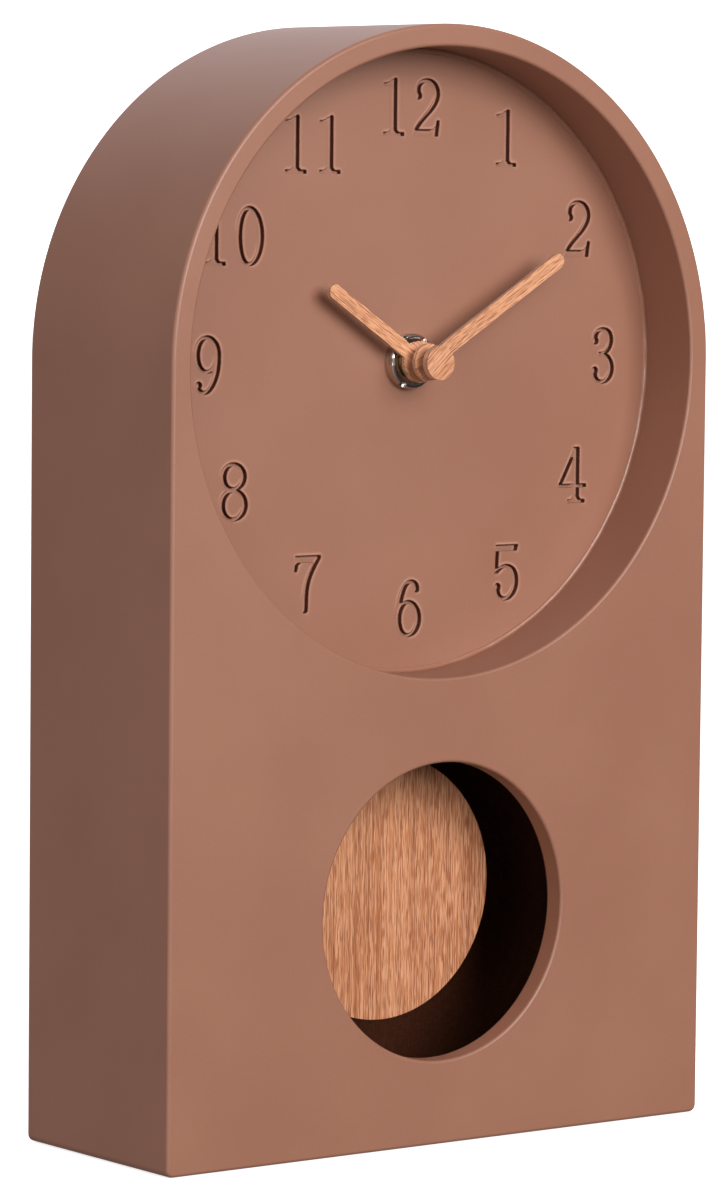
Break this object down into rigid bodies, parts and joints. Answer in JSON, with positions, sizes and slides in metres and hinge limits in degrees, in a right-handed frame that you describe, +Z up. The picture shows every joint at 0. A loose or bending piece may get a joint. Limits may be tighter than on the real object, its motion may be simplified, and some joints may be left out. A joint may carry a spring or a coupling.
{
  "type": "desk pendulum clock",
  "caption": "Free-standing arched clock with a deep round dial recess, engraved numerals, plain wooden hands and a round wooden pendulum bob hanging behind a round window.",
  "frame": {"origin": "on the table, under the middle of the case", "axes": "+X to the clock's right as seen from the front, +Y to the back, +Z up"},
  "size_m": [0.18, 0.066, 0.3],
  "materials": {
    "case_lacquer": "matt lacquer on fibreboard",
    "back_board": "black stained board",
    "steel": "plain",
    "brass": "turned",
    "rubber": "matt",
    "chrome": "polished",
    "movement_plastic": "moulded",
    "plate_plastic": "moulded",
    "gear_plastic": "moulded",
    "knob_plastic": "moulded",
    "magnet": "sintered",
    "copper": "enamelled wire",
    "battery_can": "printed sleeve",
    "board": "solder mask",
    "crystal_can": "satin",
    "chip": "epoxy",
    "rod_steel": "satin",
    "oak": "oiled veneer",
    "hand_metal": "satin"
  },
  "bodies": {
    "case": {"case_shell": "case_lacquer", "dial": "case_lacquer", "back_panel": "back_board", "back_panel_screws": "steel", "threaded_bush": "brass", "rubber_washer": "rubber", "ring_nut": "chrome", "movement_case": "movement_plastic", "middle_plate": "plate_plastic", "movement_cover": "movement_plastic", "movement_screws": "steel", "stator": "steel", "coil_core": "steel", "coil_bobbin": "plate_plastic", "coil_winding": "copper", "battery_contact_negative": "steel", "battery_contact_positive": "steel", "circuit_board": "board", "quartz_crystal": "crystal_can", "control_chip": "chip", "pendulum_coil": "copper", "pivot_pin": "steel"},
    "minute_hands": {"minute_shaft": "gear_plastic", "minute_hand": "hand_metal", "minute_hand_veneer": "oak", "hand_cap": "hand_metal", "hand_cap_veneer": "oak"},
    "hour_hands": {"hour_wheel": "gear_plastic", "hour_hand": "hand_metal", "hour_hand_veneer": "oak"},
    "minute_work": {"minute_wheel": "gear_plastic"},
    "setter": {"setting_knob": "knob_plastic"},
    "motor_rotor": {"rotor": "gear_plastic", "rotor_magnet": "magnet"},
    "intermediate": {"intermediate_wheel": "gear_plastic"},
    "seconds": {"seconds_wheel": "gear_plastic"},
    "third": {"third_wheel": "gear_plastic"},
    "centre": {"centre_wheel": "gear_plastic"},
    "pendulum": {"pendulum_hanger": "movement_plastic", "pendulum_magnet": "magnet", "pendulum_rod": "rod_steel", "bob_clip": "plate_plastic", "pendulum_bob": "oak"},
    "cell": {"battery": "battery_can"}
  },
  "joints": [
    {"name": "minute_turn", "type": "hinge", "parent": "case", "child": "minute_hands", "pos_m": [0, 0, 0.21], "axis": [0, 1, 0], "continuous": true},
    {"name": "hour_turn", "type": "hinge", "parent": "case", "child": "hour_hands", "pos_m": [0, 0, 0.21], "axis": [0, 1, 0], "continuous": true},
    {"name": "minute_wheel_turn", "type": "hinge", "parent": "case", "child": "minute_work", "pos_m": [0.00902, 0, 0.20672], "axis": [0, 1, 0], "continuous": true},
    {"name": "setting_knob_turn", "type": "hinge", "parent": "case", "child": "setter", "pos_m": [0.01848, 0, 0.20838], "axis": [0, 1, 0], "continuous": true},
    {"name": "rotor_turn", "type": "hinge", "parent": "case", "child": "motor_rotor", "pos_m": [-0.01087, 0, 0.19898], "axis": [0, 1, 0], "continuous": true},
    {"name": "intermediate_turn", "type": "hinge", "parent": "case", "child": "intermediate", "pos_m": [-0.00468, 0, 0.20332], "axis": [0, 1, 0], "continuous": true},
    {"name": "seconds_turn", "type": "hinge", "parent": "case", "child": "seconds", "pos_m": [0, 0, 0.21], "axis": [0, 1, 0], "continuous": true},
    {"name": "third_turn", "type": "hinge", "parent": "case", "child": "third", "pos_m": [-0.00827, 0, 0.21694], "axis": [0, 1, 0], "continuous": true},
    {"name": "centre_turn", "type": "hinge", "parent": "case", "child": "centre", "pos_m": [0, 0, 0.21], "axis": [0, 1, 0], "continuous": true},
    {"name": "pendulum_swing", "type": "hinge", "parent": "case", "child": "pendulum", "pos_m": [0, 0, 0.18998], "axis": [0, 1, 0], "range_deg": [-10, 10]},
    {"name": "battery_out", "type": "slide", "parent": "case", "child": "cell", "axis": [0, 1, 0], "range_m": [0, 0.05]}
  ],
  "couplings": [
    {"joint": "hour_turn", "follows": "minute_turn", "ratio": 0.083333},
    {"joint": "minute_wheel_turn", "follows": "minute_turn", "ratio": -0.33333},
    {"joint": "setting_knob_turn", "follows": "minute_turn", "ratio": 1},
    {"joint": "intermediate_turn", "follows": "rotor_turn", "ratio": -0.16667},
    {"joint": "seconds_turn", "follows": "rotor_turn", "ratio": 0.033333},
    {"joint": "third_turn", "follows": "rotor_turn", "ratio": -0.0044444},
    {"joint": "centre_turn", "follows": "rotor_turn", "ratio": 0.00055556}
  ]
}
